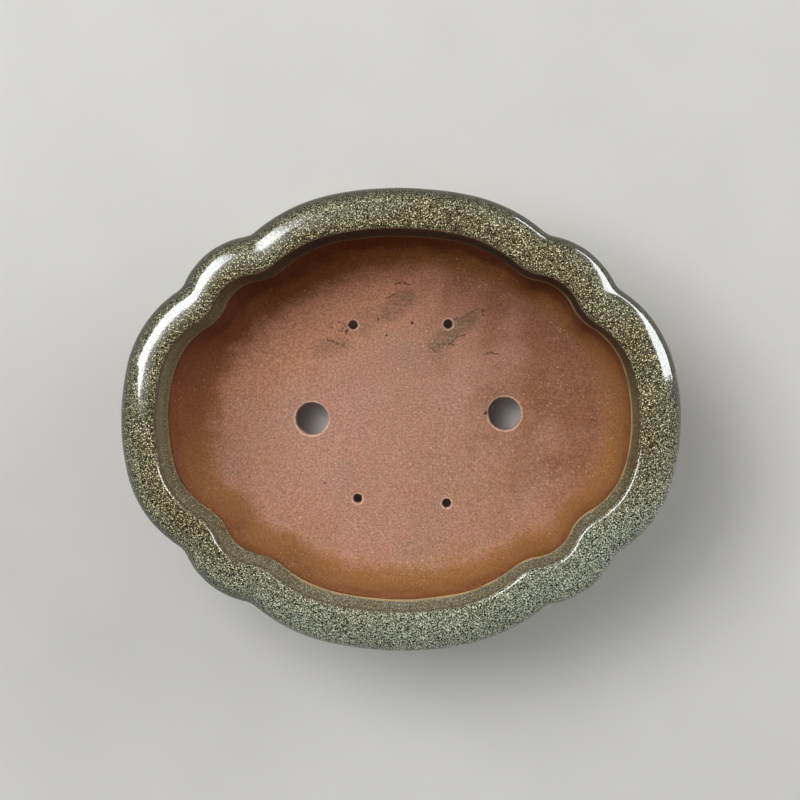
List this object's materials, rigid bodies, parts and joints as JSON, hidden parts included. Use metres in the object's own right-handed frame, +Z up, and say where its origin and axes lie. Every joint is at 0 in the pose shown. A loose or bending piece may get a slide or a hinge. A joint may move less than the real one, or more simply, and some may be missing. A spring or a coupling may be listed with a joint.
{
  "type": "mokko bonsai pot",
  "caption": "Shallow oval lobed pot with a broad outward lip, glazed outside, bare clay inside, bracket feet, drain holes and wire holes.",
  "frame": {"origin": "on the ground under the middle of the pot", "axes": "+X along the pot's length, +Y across it, +Z up through the open mouth"},
  "size_m": [0.36, 0.297, 0.1],
  "materials": {
    "clay": "matt unglazed fired stoneware with a fine grain",
    "glaze": "glossy olive-brown glaze with dense cream speckles"
  },
  "bodies": {
    "root": {"floor_slab": "clay", "wall": "glaze", "corner_coil": "clay", "rim_lip": "glaze", "foot_right_back": "glaze", "foot_left_back": "glaze", "foot_left_front": "glaze", "foot_right_front": "glaze"}
  },
  "joints": []
}
